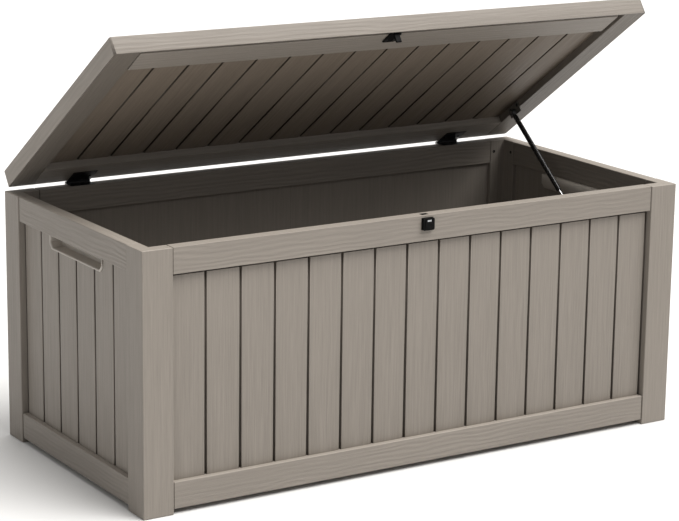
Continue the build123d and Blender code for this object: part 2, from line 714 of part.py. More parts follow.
axis_plane = Plane(origin=(0, hinge_y, hinge_z), x_dir=(1, 0, 0), z_dir=(0, 0, 1))
leaf_edge = -(BARREL_RADIUS + LEAF_RELIEF)
for side, name in ((-1, "left"), (1, "right")):
    box_places = [place for place in box_leaf_screw_places if place.origin.X * side > 0]
    lid_places = [place for place in lid_leaf_screw_places if place.origin.X * side > 0]
    hinge_leaf(
        f"{name}_hinge_box_leaf",
        axis_plane,
        side * HINGE_X,
        (-HINGE_OFFSET - BOX_LEAF_DEPTH, leaf_edge),
        (-HINGE_RISE - LEAF_THICKNESS, -HINGE_RISE),
        0,
        box_places,
    )
    hinge_leaf(
        f"{name}_hinge_lid_leaf",
        lid_plane,
        side * HINGE_X,
        (-HINGE_OFFSET - LID_LEAF_DEPTH, leaf_edge),
        (lid_mouth, lid_mouth + LEAF_THICKNESS),
        1,
        lid_places,
    )
    with BuildPart() as pin:
        pin_plane = Plane(origin=(side * HINGE_X, hinge_y, hinge_z), z_dir=(1, 0, 0))
        rod_between(pin_plane, [(0, 0)], PIN_RADIUS, (-LEAF_WIDTH / 2, LEAF_WIDTH / 2))
        chamfer(pin.edges().filter_by(GeomType.CIRCLE), length=0.5)
    finish(pin, f"{name}_hinge_pin")

# ---------------------------------------------------------------- latch
slot_front = -HOOK_INSET + HOOK_SIDE_PLAY
slot_back = -HOOK_INSET - HOOK_THICKNESS - HOOK_SIDE_PLAY
with BuildPart() as catch:
    front_wall = WALLS["front"]
    half = CATCH_WIDTH / 2
    catch_bottom = catch_top - CATCH_HEIGHT
    block(front_wall, (-half, half), (catch_bottom, catch_top), (-CATCH_BACK, CATCH_PROUD))
    outer_face = catch.faces().sort_by(Axis.Y)[0]
    fillet(outer_face.edges(), radius=2.0)
    block(
        front_wall,
        (-half, half),
        (catch_bottom, catch_bottom + 12.0),
        (-RIM_WIDTH + RAIL_WALL, -CATCH_BACK),
    )
    block(
        front_wall,
        (-HOOK_WIDTH / 2 - HOOK_SIDE_PLAY, HOOK_WIDTH / 2 + HOOK_SIDE_PLAY),
        (catch_top - HOOK_LENGTH - 2.0, catch_top + 1),
        (slot_back, slot_front),
        mode=Mode.SUBTRACT,
    )
    window = (catch_top - 9.0, catch_top - 4.5)
    window_depth = (slot_front - 1, CATCH_PROUD + 1)
    block(front_wall, (-HOOK_WIDTH / 2, HOOK_WIDTH / 2), window, window_depth, mode=Mode.SUBTRACT)
    screw_holes(catch_screw_places)
finish(catch, "latch_catch")

with BuildPart() as hook:
    half = HOOK_PLATE_WIDTH / 2
    plate_y = (hook_local_front - 0.6, hook_local_front - 0.6 + HOOK_PLATE_DEPTH)
    block(lid_plane, (-half, half), plate_y, (hook_plate_bottom, front_rail_bottom))
    half = HOOK_WIDTH / 2
    hook_tip = lid_mouth - HOOK_LENGTH
    tongue_y = (hook_local_front, hook_local_front + HOOK_THICKNESS)
    block(lid_plane, (-half, half), tongue_y, (hook_tip, hook_plate_bottom))
    tip = hook.faces().sort_by(Axis(lid_plane.origin, lid_plane.z_dir))[0]
    chamfer(tip.edges(), length=1.0)
    screw_holes(hook_plate_screw_places)
finish(hook, "latch_hook")

# ---------------------------------------------------------------- gas strut
# a plane across the strut at its lid pivot: X along the strut towards its foot, Z along world X
strut_plane = Plane(origin=strut_pivot, x_dir=strut_direction, z_dir=(1, 0, 0))
# a plane square to the strut, its Z running towards the foot
strut_section = Plane(origin=strut_pivot, x_dir=(1, 0, 0), z_dir=strut_direction)
mouth = TUBE_START + TUBE_LENGTH
rod_end = mouth - ROD_INSERTION


def strut_socket(label, centre, stem):
    """An eye on a short stem. The stem runs between two distances along the strut."""
    half = SOCKET_THICKNESS / 2
    with BuildPart() as socket:
        rod_between(strut_plane, [(centre, 0)], SOCKET_RADIUS, (-half, half))
        rod_between(strut_section, [(0, 0)], SOCKET_STEM_RADIUS, stem)
        eye = STUD_RADIUS + PIN_CLEARANCE
        rod_between(strut_plane, [(centre, 0)], eye, (-half - 1, half + 1), mode=Mode.SUBTRACT)
    finish(socket, label)


stem_start = SOCKET_RADIUS - 2.0
bottom_stem = (STRUT_LENGTH - TUBE_START, STRUT_LENGTH - stem_start)
strut_socket("strut_top_socket", 0, (stem_start, TUBE_START))
strut_socket("strut_bottom_socket", STRUT_LENGTH, bottom_stem)

with BuildPart() as tube:
    rod_between(strut_section, [(0, 0)], TUBE_RADIUS, (TUBE_START, mouth))
    fillet(tube.edges().filter_by(GeomType.CIRCLE), radius=1.0)
    bore_range = (TUBE_START + TUBE_END_WALL, mouth + 1)
    rod_between(strut_section, [(0, 0)], TUBE_BORE, bore_range, mode=Mode.SUBTRACT)
finish(tube, "strut_tube")

with BuildPart() as guide:
    rod_between(strut_section, [(0, 0)], TUBE_BORE, (mouth - GUIDE_LENGTH, mouth - 0.5))
    guide_bore = ROD_RADIUS + PIN_CLEARANCE
    bore_range = (mouth - GUIDE_LENGTH - 1, mouth + 1)
    rod_between(strut_section, [(0, 0)], guide_bore, bore_range, mode=Mode.SUBTRACT)
finish(guide, "strut_rod_guide")

with BuildPart() as rod:
    rod_between(strut_section, [(0, 0)], ROD_RADIUS, (rod_end, STRUT_LENGTH - TUBE_START))
finish(rod, "strut_rod")

with BuildPart() as piston:
    rod_between(strut_section, [(0, 0)], TUBE_BORE - PIN_CLEARANCE, (rod_end - PISTON_LENGTH, rod_end))
finish(piston, "strut_piston")

with BuildPart() as lid_bracket:
    block(
        lid_side_plane(bracket_face),
        (STRUT_LID_Y - 20.0, STRUT_LID_Y + 20.0),
        (STRUT_LID_Z - 7.0, 13.0),
        (0, recess_x - bracket_face),
    )
    stud_range = (STRUT_X - SOCKET_THICKNESS / 2 - 1.0, bracket_face)
    rod_between(lid_side_plane(0), [(STRUT_LID_Y, STRUT_LID_Z)], STUD_RADIUS, stud_range)
    screw_holes(strut_lid_screw_places)
finish(lid_bracket, "strut_lid_bracket")

with BuildPart() as box_bracket:
    wall = WALLS["right"]
    plate_base = -PLANK_SETBACK - PLANK_THICKNESS
    plate = ((foot_along - 20.0, foot_along + 20.0), (strut_foot.Z - 11.0, strut_foot.Z + 11.0))
    block(wall, *plate, (plate_base - 2.5, plate_base))
    stud_tip = STRUT_X + SOCKET_THICKNESS / 2 + OPEN_PIVOT_GAP - LENGTH / 2
    centre = [(foot_along, strut_foot.Z)]
    rod_between(wall, centre, 8.0, (stud_tip + 6.0, plate_base - 2.5))
    rod_between(wall, centre, STUD_RADIUS, (stud_tip, stud_tip + 6.0))
    screw_holes(strut_box_screw_places, SHORT_SCREW_LENGTH)
finish(box_bracket, "strut_box_bracket")

# ---------------------------------------------------------------- screws
screws("post_screws", post_screw_places)
screws("catch_screws", catch_screw_places)
screws("hinge_box_screws", box_leaf_screw_places)
screws("hinge_lid_screws", lid_leaf_screw_places)
screws("hook_screws", hook_plate_screw_places)
screws("strut_box_screws", strut_box_screw_places, SHORT_SCREW_LENGTH)
screws("strut_lid_screws", strut_lid_screw_places)
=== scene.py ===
"""Looks of the storage bench: moulded resin planks, rails and posts, black hinges, latch and strut."""

import json
import math

import bmesh
import bpy
from mathutils import Matrix, Vector


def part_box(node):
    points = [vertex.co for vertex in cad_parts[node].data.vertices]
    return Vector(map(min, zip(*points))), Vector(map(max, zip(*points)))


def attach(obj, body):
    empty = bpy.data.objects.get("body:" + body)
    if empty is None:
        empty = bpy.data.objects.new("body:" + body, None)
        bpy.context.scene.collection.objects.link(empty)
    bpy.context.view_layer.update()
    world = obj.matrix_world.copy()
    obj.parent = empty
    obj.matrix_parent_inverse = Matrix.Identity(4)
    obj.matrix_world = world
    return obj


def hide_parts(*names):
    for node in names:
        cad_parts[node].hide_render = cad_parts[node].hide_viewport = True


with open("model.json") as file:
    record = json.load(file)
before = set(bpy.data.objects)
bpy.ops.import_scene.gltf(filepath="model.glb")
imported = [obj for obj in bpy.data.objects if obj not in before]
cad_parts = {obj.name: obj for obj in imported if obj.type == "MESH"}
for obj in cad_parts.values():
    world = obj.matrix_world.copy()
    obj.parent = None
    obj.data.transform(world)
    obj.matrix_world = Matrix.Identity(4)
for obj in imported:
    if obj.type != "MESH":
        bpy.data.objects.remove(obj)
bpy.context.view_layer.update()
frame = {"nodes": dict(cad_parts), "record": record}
nodes = frame["nodes"]
MM = 0.001

# ---------------------------------------------------------------- places, from the frame
joints = {joint["name"]: joint for joint in frame["record"]["behaviour"]["joints"]}
hinge = Vector(joints["lid_hinge"]["pos_m"])
post_low, post_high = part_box("front_left_post")
back_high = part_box("back_right_post")[1]
front_y = post_low.y
back_y = back_high.y
left_x = post_low.x
right_x = back_high.x
rim_z = post_high.z
post_width = post_high.x - post_low.x
middle_y = (front_y + back_y) / 2
half_length = (right_x - left_x) / 2
half_depth = (back_y - front_y) / 2

top_rail_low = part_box("front_top_rail")[0].z
bottom_rail_low, bottom_rail_high = (corner.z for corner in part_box("front_bottom_rail"))
rail_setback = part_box("front_top_rail")[0].y - front_y
rim_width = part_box("front_top_rail")[1].y - front_y
panel_low, panel_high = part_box("front_left_plank_panel")
plank_setback = panel_low.y - front_y
plank_thickness = panel_high.y - panel_low.y

LID_ANGLE = math.radians(35)  # how far the lid is open at rest
lid_frame = Matrix.Translation(hinge) @ Matrix.Rotation(-LID_ANGLE, 4, "X")
into_lid = lid_frame.inverted()


def group_box(points):
    """Lowest and highest corner of a list of points."""
    low = Vector([min(point[i] for point in points) for i in range(3)])
    high = Vector([max(point[i] for point in points) for i in range(3)])
    return low, high


def node_box(node, into=Matrix()):
    """Lowest and highest corner of a CAD node, mapped by a matrix."""
    return group_box([into @ vertex.co for vertex in nodes[node].data.vertices])


def lid_box(node):
    """Lowest and highest corner of a lid node in the lid's own frame."""
    return node_box(node, into_lid)


shell_low, shell_high = lid_box("lid_top_shell")
recess_x = lid_box("lid_right_rail")[0].x
recess_front = lid_box("lid_front_rail")[1].y
recess_back = lid_box("lid_back_rail")[0].y

GROOVE_WIDTH = 5.0 * MM
GROOVE_DEPTH = 5.0 * MM
GROOVE_LIP = 1.0 * MM  # radius of the planks' rounded edges
LONG_PLANKS = 15
SIDE_PLANKS = 6


# ---------------------------------------------------------------- node materials
class Tree:
    """Short calls for building one material's nodes."""

    def __init__(self, name):
        self.material = bpy.data.materials.new(name)
        self.material.use_nodes = True
        self.nodes = self.material.node_tree.nodes
        self.links = self.material.node_tree.links
        self.shader = self.nodes["Principled BSDF"]

    def fill(self, socket, value):
        """Link a socket to another, or give it a plain value."""
        if isinstance(value, bpy.types.NodeSocket):
            self.links.new(value, socket)
        else:
            socket.default_value = value

    def add(self, kind, values=None, **properties):
        """A new node with its properties set and its sockets filled."""
        node = self.nodes.new(kind)
        for key, value in properties.items():
            setattr(node, key, value)
        for key, value in (values or {}).items():
            self.fill(node.inputs[key], value)
        return node

    def coordinates(self, scale=(1.0, 1.0, 1.0)):
        """Object coordinates, in metres, scaled along each axis."""
        place = self.add("ShaderNodeTexCoord").outputs["Object"]
        return self.add("ShaderNodeMapping", {"Vector": place, "Scale": scale}).outputs["Vector"]

    def noise(self, vector, scale, detail=3.0, roughness=0.5, distortion=0.0):
        """Noise with its scale given per metre."""
        values = {
            "Vector": vector,
            "Scale": scale,
            "Detail": detail,
            "Roughness": roughness,
            "Distortion": distortion,
        }
        return self.add("ShaderNodeTexNoise", values).outputs["Fac"]

    def math(self, operation, first, second=0.0, third=0.0):
        """A Math node's result."""
        return self.add("ShaderNodeMath", {0: first, 1: second, 2: third}, operation=operation).outputs[0]

    def spread(self, value, low, high, to_low=0.0, to_high=1.0):
        """Map a range of a value to another range, clamped."""
        values = {"Value": value, 1: low, 2: high, 3: to_low, 4: to_high}
        return self.add("ShaderNodeMapRange", values).outputs[0]

    def mix(self, factor, first, second, blend="MIX"):
        """Mix two colours."""
        node = self.add("ShaderNodeMix", data_type="RGBA", blend_type=blend)
        for key, value in ((0, factor), (6, first), (7, second)):  # its factor and colour sockets
            self.fill(node.inputs[key], value)
        return node.outputs[2]

    def bump(self, height, distance):
        """A height, as the shader's normal."""
        return self.add("ShaderNodeBump", {"Height": height, "Distance": distance}).outputs["Normal"]

    def feed(self, key, value):
        """Link or set one of the shader's sockets."""
        self.fill(self.shader.inputs[key], value)


def colour(red, green, blue):
    """A colour with its alpha."""
    return (red, green, blue, 1.0)


def shaded(base, factor):
    """A colour darker or lighter than a base."""
    return colour(*[value * factor for value in base])


PAINTED_LIGHT_AMOUNT = 0.34  # painted light: how far upward faces turn to the lighter colour, as if lit from above
PAINTED_LIGHT_TONE = 2.2  # that lighter colour, against the resin's own
PAINTED_LIGHT_FROM, PAINTED_LIGHT_TO = 0.35, 0.9  # upward part of the surface normal where the painted light starts and is full
BAND_PITCH = 9.5 * MM  # of the wavy bands across a rail
BAND_WARP = 15.0  # how far noise bends the bands, in radians
BAND_HEIGHT = 2.2  # of a band, against the fine grain
FINE_STRETCH = 0.025  # scale of the fine grain along its direction, so that it becomes streaks
BAND_STRETCH = 0.30  # and of the noise that bends the bands
EMBOSSING = 0.30 * MM  # depth of the grain
DARK_GRAIN, LIGHT_GRAIN = 0.91, 1.09


def stretched(along, amount):
    """A scale of one, but for a given amount along one axis."""
    return [amount if axis == along else 1.0 for axis in range(3)]


def embossed_resin(name, base, grain, relief=1.0, band=0.5, roughness=0.5):
    """Moulded resin embossed with wood grain along one axis: fine streaks, and wavy bands of some weight;
    upward faces get painted light.
    """
    tree = Tree(name)
    along = "XYZ".index(grain)
    fine_place = tree.coordinates(stretched(along, FINE_STRETCH))
    band_place = tree.coordinates(stretched(along, BAND_STRETCH))
    plain_place = tree.coordinates()
    fine = tree.noise(fine_place, 640.0, detail=3.0, roughness=0.6)
    streak = tree.noise(fine_place, 230.0, detail=2.0, distortion=0.2)
    warp = tree.noise(band_place, 26.0, detail=2.0, roughness=0.4)
    patch = tree.noise(band_place, 11.0, detail=1.0)
    cloud = tree.noise(plain_place, 4.0)
    pits = tree.noise(plain_place, 900.0, detail=2.0)

    place = tree.add("ShaderNodeSeparateXYZ", {0: plain_place})
    across = tree.math("ADD", *[place.outputs[axis] for axis in range(3) if axis != along])
    bend = tree.math("MULTIPLY", warp, BAND_WARP)
    phase = tree.math("MULTIPLY_ADD", across, 2 * math.pi / BAND_PITCH, bend)
    wave = tree.math("MULTIPLY_ADD", tree.math("SINE", phase), 0.5, 0.5)
    bands = tree.math("MULTIPLY", wave, tree.spread(patch, 0.35, 0.62, 0.25, 1.0))

    fine_height = tree.spread(fine, 0.3, 0.72)
    streak_height = tree.math("MULTIPLY", tree.spread(streak, 0.3, 0.7), 0.45)
    grain_height = tree.math("MULTIPLY_ADD", fine_height, 0.55, streak_height)
    height = tree.math("MULTIPLY_ADD", bands, band * BAND_HEIGHT, grain_height)
    height = tree.math("MULTIPLY_ADD", pits, 0.1, height)

    plain_shade = tree.math("MULTIPLY", grain_height, 1.0 - band)
    shade = tree.math("MULTIPLY_ADD", bands, band, plain_shade)
    tone = tree.mix(tree.spread(shade, 0.12, 0.82), shaded(base, DARK_GRAIN), shaded(base, LIGHT_GRAIN))
    clouding = tree.spread(cloud, 0.35, 0.65, 0.0, 0.10)
    tint = tree.mix(clouding, colour(1, 1, 1), colour(0.9, 0.9, 0.92))
    tinted = tree.mix(1.0, tone, tint, "MULTIPLY")
    # Painted light: faces turned upward are mixed towards a lighter colour, standing in for light from above.
    facing = tree.add("ShaderNodeSeparateXYZ", {0: tree.add("ShaderNodeTexCoord").outputs["Normal"]})
    painted_light = tree.spread(facing.outputs[2], PAINTED_LIGHT_FROM, PAINTED_LIGHT_TO, 0.0, PAINTED_LIGHT_AMOUNT)
    tree.feed("Base Color", tree.mix(painted_light, tinted, shaded(base, PAINTED_LIGHT_TONE)))
    tree.feed("Roughness", tree.spread(grain_height, 0.1, 0.9, roughness + 0.08, roughness - 0.05))
    tree.feed("Specular IOR Level", 0.35)
    tree.feed("Normal", tree.bump(height, EMBOSSING * relief))
    return tree.material


def plain_resin(name, base, roughness=0.55):
    """Plain moulded resin with a fine spark-eroded texture and slight unevenness."""
    tree = Tree(name)
    stipple = tree.noise(tree.coordinates(), 700.0, roughness=0.6)
    flow = tree.noise(tree.coordinates(stretched(2, 0.35)), 26.0, detail=4.0)
    tree.feed("Base Color", tree.mix(tree.spread(flow, 0.3, 0.7), shaded(base, 0.9), shaded(base, 1.07)))
    tree.feed("Roughness", tree.spread(flow, 0.3, 0.7, roughness - 0.05, roughness + 0.06))
    tree.feed("Specular IOR Level", 0.4)
    tree.feed("Normal", tree.bump(stipple, 0.12 * MM))
    return tree.material


def black_coating(name, base=0.010, roughness=0.36, gloss=0.22):
    """Near-black coating with an orange-peel surface and worn, shinier patches."""
    tree = Tree(name)
    peel = tree.noise(tree.coordinates(), 1400.0, detail=2.0)
    wear = tree.noise(tree.coordinates(), 130.0, detail=5.0, roughness=0.65)
    dark = colour(base, base, base * 1.02)
    rubbed = colour(base * 3.0, base * 2.9, base * 2.7)
    tree.feed("Base Color", tree.mix(tree.spread(wear, 0.6, 0.74), dark, rubbed))
    tree.feed("Roughness", tree.spread(wear, 0.3, 0.7, roughness + 0.08, roughness - 0.08))
    tree.feed("Specular IOR Level", gloss)
    tree.feed("Normal", tree.bump(peel, 0.06 * MM))
    return tree.material


def bare_metal(name, base, roughness, grain):
    """Bare metal with drawing marks along one axis."""
    tree = Tree(name)
    marks = tree.noise(tree.coordinates(stretched("XYZ".index(grain), 0.02)), 1600.0)
    stain = tree.noise(tree.coordinates(), 40.0, detail=4.0)
    tree.feed("Base Color", tree.mix(tree.spread(stain, 0.35, 0.7), colour(*base), shaded(base, 0.8)))
    tree.feed("Metallic", 1.0)
    tree.feed("Roughness", tree.spread(marks, 0.3, 0.7, roughness - 0.05, roughness + 0.1))
    tree.feed("Normal", tree.bump(marks, 0.04 * MM))
    return tree.material


def floor_paint():
    """The studio floor's even, pale, dull finish."""
    tree = Tree("studio_floor")
    tree.feed("Base Color", colour(0.76, 0.755, 0.75))
    tree.feed("Roughness", 0.9)
    tree.feed("Specular IOR Level", 0.1)
    return tree.material


TAUPE = (0.229, 0.203, 0.176)
# Painted shade: darker colours for faces deep in grooves and gaps, in the box's planks, the lid's underside
# and the lid's top.
GROOVE_PAINTED_SHADE = (0.085, 0.072, 0.060)
UNDERSIDE_PAINTED_SHADE = (0.050, 0.039, 0.029)
TOP_PAINTED_SHADE = (0.110, 0.096, 0.082)
rail_x_resin = embossed_resin("rail_resin_along", TAUPE, "X", relief=1.3, band=0.5)
rail_y_resin = embossed_resin("rail_resin_across", TAUPE, "Y", relief=1.3, band=0.5)
post_resin = embossed_resin("post_resin", TAUPE, "Z", relief=0.9, band=0.12)
plank_resin = embossed_resin("plank_resin", TAUPE, "Z", relief=0.8, band=0.10)
groove_shade_resin = embossed_resin("groove_shade_resin", GROOVE_PAINTED_SHADE, "Z", relief=0.5, band=0.1)
lid_groove_shade_resin = embossed_resin("lid_groove_shade_resin", UNDERSIDE_PAINTED_SHADE, "Y", relief=0.5, band=0.1)
lid_top_groove_shade_resin = embossed_resin("lid_top_groove_shade_resin", TOP_PAINTED_SHADE, "Y", relief=0.5, band=0.1)
floor_resin = plain_resin("floor_resin", (0.18, 0.16, 0.135))
# Painted light: the grip's resin is lighter than the rest, standing in for light on its lip and inside.
grip_resin = plain_resin("grip_resin", (0.40, 0.365, 0.325), roughness=0.42)
lid_x_resin = embossed_resin("lid_resin_along", TAUPE, "X", relief=1.1, band=0.35)
lid_y_resin = embossed_resin("lid_resin_across", TAUPE, "Y", relief=1.0, band=0.3)
# Painted shade: a darker copy of the resin for the lid's side rails, standing in for less bounced light under
# them.
lid_side_shaded_resin = embossed_resin("lid_side_shaded_resin", (0.138, 0.120, 0.101), "Y", relief=1.0, band=0.3)
# Painted shade: the panel's resin is darker than the rails', standing in for shade in the lid's recess.
lid_panel_resin = embossed_resin("lid_panel_resin", (0.168, 0.136, 0.106), "Y", relief=0.7, band=0.12)
black_steel = black_coating("black_steel")
latch_plastic = black_coating("latch_plastic", base=0.0045, roughness=0.5, gloss=0.06)
strut_paint = black_coating("strut_paint", base=0.008, roughness=0.25, gloss=0.5)
guide_plastic = plain_resin("guide_plastic", (0.02, 0.02, 0.02), roughness=0.4)
pin_steel = bare_metal("pin_steel", (0.5, 0.49, 0.47), 0.35, "X")
rod_chrome = bare_metal("rod_chrome", (0.72, 0.72, 0.73), 0.12, "Y")
galvanised = bare_metal("galvanised_steel", (0.55, 0.56, 0.57), 0.45, "X")
bracket_paint = plain_resin("bracket_paint", (0.11, 0.10, 0.088), roughness=0.5)

SLOT_MATERIALS = {
    "post_resin": post_resin,
    "rail_resin": rail_x_resin,
    "plank_resin": plank_resin,
    "grip_resin": grip_resin,
    "floor_resin": floor_resin,
    "lid_resin": lid_x_resin,
    "lid_rail_resin": lid_x_resin,
    "lid_panel_resin": lid_panel_resin,
    "galvanised_steel": galvanised,
    "black_steel": black_steel,
    "pin_steel": pin_steel,
    "screw_steel": black_steel,
    "latch_plastic": latch_plastic,
    "strut_paint": strut_paint,
    "rod_chrome": rod_chrome,
    "guide_plastic": guide_plastic,
    "socket_plastic": guide_plastic,
}
for part in frame["record"]["subparts"]:
    data = nodes[part["node"]].data
    data.materials.clear()
    data.materials.append(SLOT_MATERIALS[part["material_slot"]])
for node in ("strut_lid_bracket", "strut_box_bracket"):
    nodes[node].data.materials[0] = bracket_paint


# ---------------------------------------------------------------- mesh helpers
SHARP_EDGE = 30  # degrees; gentler edges aren't rounded


def cut_away(piece, fill):
    """Subtract from a piece the closed meshes that fill(mesh) adds to a bmesh, in the piece's own frame."""
    mesh = bmesh.new()
    fill(mesh)
    bmesh.ops.recalc_face_normals(mesh, faces=mesh.faces)
    data = bpy.data.meshes.new("cutter")
    mesh.to_mesh(data)
    mesh.free()
    cutter = bpy.data.objects.new("cutter", data)
    bpy.context.scene.collection.objects.link(cutter)
    cutter.matrix_world = piece.matrix_world
    cutting = piece.modifiers.new("cut", "BOOLEAN")
    cutting.object = cutter
    cutting.solver = "EXACT"
    cutting.use_self = True
    bpy.context.view_layer.update()
    result = bpy.data.meshes.new_from_object(piece.evaluated_get(bpy.context.evaluated_depsgraph_get()))
    piece.modifiers.clear()
    piece.data = result
    bpy.data.objects.remove(cutter)


def place(name, mesh, material, body, slot, replaced, matrix=None, bevel=0.0, segments=3, cutter=None):
    """Make an object of a bmesh, round its edges, attach it to its body and hide the CAD nodes it replaces.

    A matrix is the frame that the bmesh was made in, such as the closed lid's own."""
    bmesh.ops.recalc_face_normals(mesh, faces=mesh.faces)
    data = bpy.data.meshes.new(name)
    mesh.to_mesh(data)
    mesh.free()
    piece = bpy.data.objects.new(name, data)
    bpy.context.scene.collection.objects.link(piece)
    if matrix is not None:
        piece.matrix_world = matrix
    if cutter is not None:
        cut_away(piece, cutter)
    piece.data.materials.clear()
    piece.data.materials.append(material)
    if bevel:
        rounding = piece.modifiers.new("rounding", "BEVEL")
        rounding.width = bevel
        rounding.segments = segments
        rounding.limit_method = "ANGLE"
        rounding.angle_limit = math.radians(SHARP_EDGE)
        rounding.harden_normals = True
    for face in piece.data.polygons:
        face.use_smooth = True
    smooth = piece.modifiers.new("normals", "WEIGHTED_NORMAL")
    smooth.keep_sharp = True
    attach(piece, body)
    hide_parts(*replaced)
    return piece


def add_box(mesh, low, high):
    """Add a box between two corners to a bmesh."""
    least = [min(pair) for pair in zip(low, high)]
    most = [max(pair) for pair in zip(low, high)]
    corners = [
        mesh.verts.new((x, y, z))
        for x in (least[0], most[0])
        for y in (least[1], most[1])
        for z in (least[2], most[2])
    ]
    for side in ((0, 1, 3, 2), (4, 6, 7, 5), (0, 4, 5, 1), (2, 3, 7, 6), (0, 2, 6, 4), (1, 5, 7, 3)):
        mesh.faces.new([corners[i] for i in side])


def sweep(mesh, profile, start, end, to_point):
    """Extrude a closed profile of (a, b) points from one distance c to another; to_point maps (a, b, c)."""
    rings = [[mesh.verts.new(to_point(a, b, c)) for a, b in profile] for c in (start, end)]
    join_rings(mesh, rings)
    mesh.faces.new(rings[0])
    mesh.faces.new(rings[1][::-1])


def join_rings(mesh, rings):
    """Faces between each ring of vertices and the next."""
    for first, second in zip(rings, rings[1:]):
        for i in range(len(first)):
            j = (i + 1) % len(first)
            mesh.faces.new((first[i], first[j], second[j], second[i]))


def arc(centre, radius, start, end, steps=4):
    """Points on an arc, angles in degrees."""
    points = []
    for step in range(steps + 1):
        angle = math.radians(start + (end - start) * step / steps)
        points.append((centre[0] + radius * math.cos(angle), centre[1] + radius * math.sin(angle)))
    return points


def islands(node, into=Matrix()):
    """The separate solids of a CAD node, each as its points mapped by a matrix."""
    mesh = bmesh.new()
    mesh.from_mesh(nodes[node].data)
    mesh.transform(into)
    bmesh.ops.remove_doubles(mesh, verts=mesh.verts, dist=1e-6)
    left = set(mesh.verts)
    groups = []
    while left:
        stack = [left.pop()]
        group = []
        while stack:
            vertex = stack.pop()
            group.append(vertex.co.copy())
            for edge in vertex.link_edges:
                other = edge.other_vert(vertex)
                if other in left:
                    left.remove(other)
                    stack.append(other)
        groups.append(group)
    mesh.free()
    groups.sort(key=lambda group: tuple(round(value, 4) for value in group_box(group)[0]))
    return groups


def unit(axis):
    """The unit vector along one axis."""
    return Vector([1.0 if i == axis else 0.0 for i in range(3)])


def paint(piece, material, chosen):
    """Give a further material to the faces of a piece that chosen(face) picks."""
    index = len(piece.data.materials)
    piece.data.materials.append(material)
    for face in piece.data.polygons:
        if chosen(face):
            face.material_index = index


def wall_map(wall):
    """A function from (along the wall, height, distance in from its outer face) to a point."""
    if wall == "front":
        return lambda along, height, inward: Vector((along, front_y + inward, height))
    if wall == "back":
        return lambda along, height, inward: Vector((-along, back_y - inward, height))
    if wall == "left":
        return lambda along, height, inward: Vector((left_x + inward, middle_y - along, height))
    return lambda along, height, inward: Vector((right_x - inward, middle_y + along, height))


# ---------------------------------------------------------------- camera and light
CAMERA_PLACE = (-2.54, front_y - 3.707, 1.52)
CAMERA_LENS = 125.3  # millimetres, as is the sensor's width
SENSOR_WIDTH = 36.0
CAMERA_HEADING = 32.24  # degrees from +Y towards +X
CAMERA_TILT = 13.74  # degrees down
CAMERA_ROLL = 0.76  # degrees about its own backward axis
CAMERA_REACH = 100.0

AIR_COLOUR = (1.0, 0.99, 0.975, 1.0)
AIR_STRENGTH = 0.34
LIGHT_COLOUR = (1.0, 0.99, 0.97)
LIGHT_DISTANCE = 5.0
FLOOR_HALF = 14.0
FLOOR_Z = -0.5 * MM  # a little under the feet, so that no two faces coincide


def look():
    """The camera: where it stands, its heading, tilt and roll."""
    data = bpy.data.cameras.new("camera")
    camera = bpy.data.objects.new("camera", data)
    bpy.context.scene.collection.objects.link(camera)
    data.lens = CAMERA_LENS
    data.sensor_width = SENSOR_WIDTH
    data.clip_end = CAMERA_REACH
    heading, tilt, roll = (math.radians(angle) for angle in (CAMERA_HEADING, CAMERA_TILT, CAMERA_ROLL))
    turn = Matrix.Rotation(-heading, 4, "Z") @ Matrix.Rotation(math.pi / 2 - tilt, 4, "X")
    camera.location = CAMERA_PLACE
    camera.rotation_mode = "QUATERNION"
    camera.rotation_quaternion = (turn @ Matrix.Rotation(roll, 4, "Z")).to_quaternion()
    bpy.context.scene.camera = camera


def sun_light(name, elevation, heading, softness, strength):
    """A distant soft light, its angles in degrees. Heading 0 is in front of the box, and 90 to its right."""
    data = bpy.data.lights.new(name, "SUN")
    data.energy = strength
    data.angle = math.radians(softness)
    data.color = LIGHT_COLOUR
    lamp = bpy.data.objects.new(name, data)
    bpy.context.scene.collection.objects.link(lamp)
    up, turn = math.radians(elevation), math.radians(heading)
    to_lamp = Vector((math.cos(up) * math.sin(turn), -math.cos(up) * math.cos(turn), math.sin(up)))
    lamp.location = to_lamp * LIGHT_DISTANCE
    lamp.rotation_mode = "QUATERNION"
    lamp.rotation_quaternion = (-to_lamp).to_track_quat("-Z", "Y")


def studio():
    """A pale floor under one large soft key light from the front right, with weak fills."""
    scene = bpy.context.scene
    scene.view_settings.view_transform = "Standard"
    scene.world = bpy.data.worlds.new("studio_air")
    scene.world.use_nodes = True
    background = scene.world.node_tree.nodes["Background"]
    background.inputs["Color"].default_value = AIR_COLOUR
    background.inputs["Strength"].default_value = AIR_STRENGTH
    sun_light("key_light", elevation=58.0, heading=36.0, softness=46.0, strength=3.9)
    sun_light("left_light", elevation=22.0, heading=-68.0, softness=40.0, strength=0.14)
    sun_light("rear_light", elevation=66.0, heading=140.0, softness=50.0, strength=1.0)

    ground = bmesh.new()
    signs = ((-1, -1), (1, -1), (1, 1), (-1, 1))
    ground.faces.new([ground.verts.new((x * FLOOR_HALF, y * FLOOR_HALF, FLOOR_Z)) for x, y in signs])
    data = bpy.data.meshes.new("studio_floor")
    ground.to_mesh(data)
    ground.free()
    data.materials.append(floor_paint())
    floor = bpy.data.objects.new("studio_floor", data)
    scene.collection.objects.link(floor)


look()
studio()

# ---------------------------------------------------------------- the box
POST_WALL = 3.5 * MM
POST_ROUNDING = 2.2 * MM
RAIL_ROUNDING = 1.8 * MM
RAIL_END_GAP = 1.2 * MM


